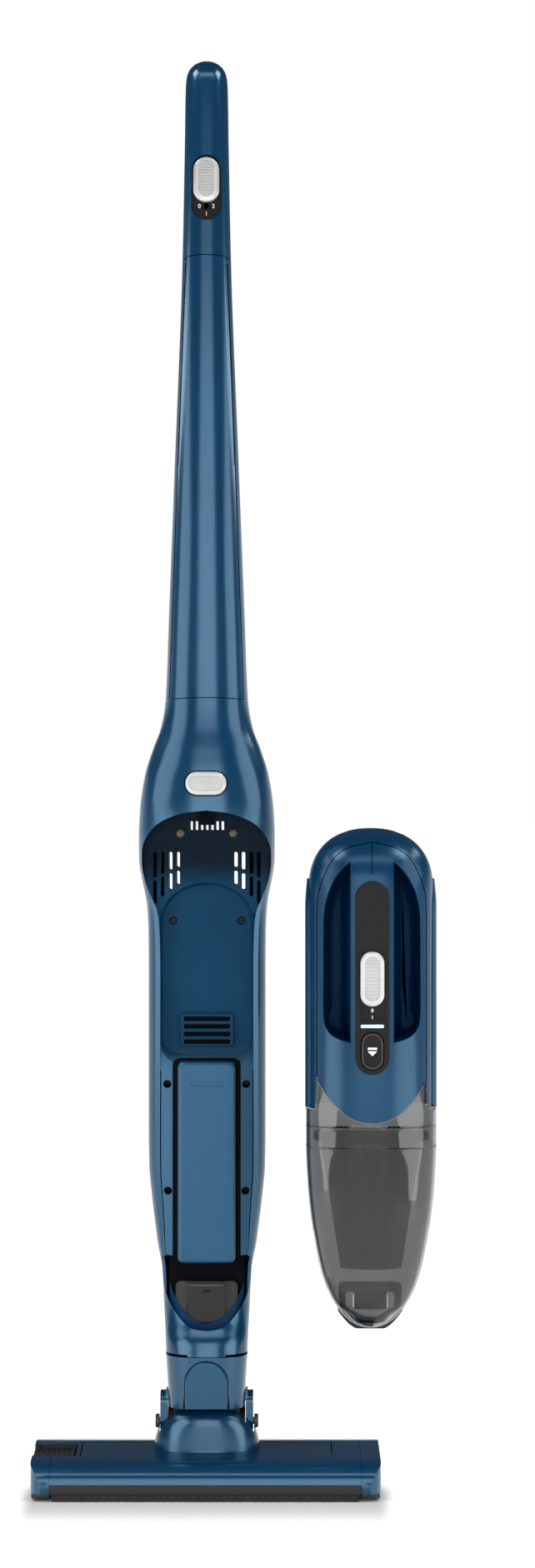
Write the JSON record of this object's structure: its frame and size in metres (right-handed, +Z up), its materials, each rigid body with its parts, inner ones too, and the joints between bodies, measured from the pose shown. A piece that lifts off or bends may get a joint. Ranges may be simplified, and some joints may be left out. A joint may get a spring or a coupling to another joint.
{
  "type": "cordless stick vacuum",
  "caption": "Two-in-one cordless stick vacuum with a floor head, a jointed neck, an open dock bay and a lift-out handheld unit.",
  "frame": {"origin": "on the sole of the floor head, under the middle of the stick", "axes": "+Z up along the stick, the front with the bay faces -Y, +X to the side where the handheld unit stands"},
  "size_m": [0.3223, 0.1445, 1.15],
  "materials": {
    "blue_plastic": "polished deep blue",
    "navy_plastic": "polished navy",
    "black_plastic": "fine matt",
    "silver_plastic": "satin silver",
    "grey_plastic": "matt",
    "grey_rubber": "matt",
    "black_rubber": "matt",
    "brown_plastic": "matt",
    "bristle": "nylon bristle on a moulded core",
    "smoke_clear": "polished smoke, see-through",
    "filter_cloth": "pleated filter cloth",
    "motor_steel": "plated",
    "contact_brass": "dull gold",
    "light_window": "frosted pale blue",
    "circuit": "coated"
  },
  "bodies": {
    "floor_head": {"sole_plate": "black_plastic", "head_cover": "blue_plastic", "bumper_strip": "grey_rubber", "right_end_cap": "blue_plastic", "suction_duct": "black_plastic", "brush_motor": "motor_steel", "drive_belt": "black_rubber", "hinge_boss_left": "grey_plastic", "hinge_boss_right": "grey_plastic"},
    "brush_cassette": {"left_end_cap": "blue_plastic"},
    "brush_roller": {"brush_roller": "bristle"},
    "brush_button": {"brush_release_button": "brown_plastic"},
    "wheel_left": {"rear_wheel_left": "black_rubber"},
    "wheel_right": {"rear_wheel_right": "black_rubber"},
    "neck": {"lower_neck_shell": "blue_plastic", "neck_arch_cover": "blue_plastic", "hinge_barrel": "black_plastic", "swivel_collar": "black_plastic"},
    "stick": {"upper_neck_shell": "blue_plastic", "suction_coupling": "grey_plastic", "dock_rear_shell": "blue_plastic", "dock_front_shell": "blue_plastic", "bay_liner": "blue_plastic", "air_grille": "blue_plastic", "central_panel": "blue_plastic", "contact_pin_left": "contact_brass", "contact_pin_right": "contact_brass", "dock_screw_left_1": "motor_steel", "dock_screw_left_2": "motor_steel", "dock_screw_left_3": "motor_steel", "dock_screw_right_1": "motor_steel", "dock_screw_right_2": "motor_steel", "dock_screw_right_3": "motor_steel", "tube_front_panel": "blue_plastic", "tube_shell": "blue_plastic", "control_cable": "black_rubber", "handle_front_shell": "blue_plastic", "handle_rear_shell": "blue_plastic", "switch_plate": "black_plastic"},
    "handle_knob": {"handle_switch_knob": "silver_plastic"},
    "dock_button": {"dock_release_button": "silver_plastic"},
    "dock_catch": {"dock_latch": "grey_plastic"},
    "hand_motor": {"suction_motor": "motor_steel"},
    "handheld": {"handheld_housing": "blue_plastic", "handheld_cover": "blue_plastic", "side_strip_left": "navy_plastic", "side_strip_right": "navy_plastic", "control_strip": "black_plastic", "led_window": "light_window", "battery_cell_1": "motor_steel", "battery_cell_2": "motor_steel", "battery_cell_3": "motor_steel", "circuit_board": "circuit"},
    "hand_knob": {"handheld_switch_knob": "silver_plastic"},
    "eject_button": {"container_release_button": "black_plastic"},
    "container": {"dust_container": "smoke_clear", "inlet_mouth": "brown_plastic"},
    "filter_unit": {"filter_frame": "black_plastic", "pleated_filter": "filter_cloth"},
    "flap": {"inlet_flap": "black_plastic"}
  },
  "joints": [
    {"name": "neck_tilt", "type": "hinge", "parent": "floor_head", "child": "neck", "pos_m": [0, 0.008, 0.052], "axis": [-1, 0, 0], "range_deg": [0, 75]},
    {"name": "neck_swivel", "type": "hinge", "parent": "neck", "child": "stick", "pos_m": [0, 0.003, 0.108], "axis": [0, 0, 1], "range_deg": [-40, 40]},
    {"name": "handle_switch", "type": "slide", "parent": "stick", "child": "handle_knob", "axis": [0, 0, -1], "range_m": [0, 0.013]},
    {"name": "dock_release", "type": "slide", "parent": "stick", "child": "dock_button", "axis": [0, 1, 0], "range_m": [0, 0.003], "stiffness_N_per_m": 400},
    {"name": "dock_catch_lift", "type": "slide", "parent": "stick", "child": "dock_catch", "axis": [0, 0, 1], "range_m": [0, 0.003]},
    {"name": "handheld_carry", "type": "hinge", "parent": "stick", "child": "hand_motor", "pos_m": [0.0655, -0.021, 0.43], "axis": [0, 0, -1], "range_deg": [0, 180]},
    {"name": "handheld_level", "type": "hinge", "parent": "hand_motor", "child": "handheld", "pos_m": [0.131, -0.021, 0.43], "axis": [0, 0, -1], "range_deg": [-180, 0]},
    {"name": "hand_switch", "type": "slide", "parent": "handheld", "child": "hand_knob", "axis": [0, 0, 1], "range_m": [-0.01, 0]},
    {"name": "container_release", "type": "slide", "parent": "handheld", "child": "eject_button", "axis": [0, -1, 0], "range_m": [-0.0025, 0], "stiffness_N_per_m": 400},
    {"name": "container_pull", "type": "slide", "parent": "handheld", "child": "container", "axis": [0, 0, 1], "range_m": [-0.08, 0]},
    {"name": "filter_pull", "type": "slide", "parent": "container", "child": "filter_unit", "axis": [0, 0, 1], "range_m": [0, 0.04]},
    {"name": "flap_swing", "type": "hinge", "parent": "container", "child": "flap", "pos_m": [0.131, -0.0318, 0.1646], "axis": [-1, 0, 0], "range_deg": [0, 35]},
    {"name": "brush_pull", "type": "slide", "parent": "floor_head", "child": "brush_cassette", "axis": [1, 0, 0], "range_m": [-0.04, 0]},
    {"name": "brush_spin", "type": "hinge", "parent": "brush_cassette", "child": "brush_roller", "pos_m": [0, -0.03, 0.0126], "axis": [1, 0, 0], "continuous": true},
    {"name": "brush_button_press", "type": "slide", "parent": "floor_head", "child": "brush_button", "axis": [0, 0, -1], "range_m": [0, 0.002], "stiffness_N_per_m": 400},
    {"name": "wheel_left_spin", "type": "hinge", "parent": "floor_head", "child": "wheel_left", "pos_m": [-0.052, 0.04, 0.01], "axis": [1, 0, 0], "continuous": true},
    {"name": "wheel_right_spin", "type": "hinge", "parent": "floor_head", "child": "wheel_right", "pos_m": [0.052, 0.04, 0.01], "axis": [1, 0, 0], "continuous": true}
  ],
  "couplings": [
    {"joint": "handheld_level", "follows": "handheld_carry", "ratio": -1},
    {"joint": "dock_catch_lift", "follows": "dock_release", "ratio": 1}
  ]
}
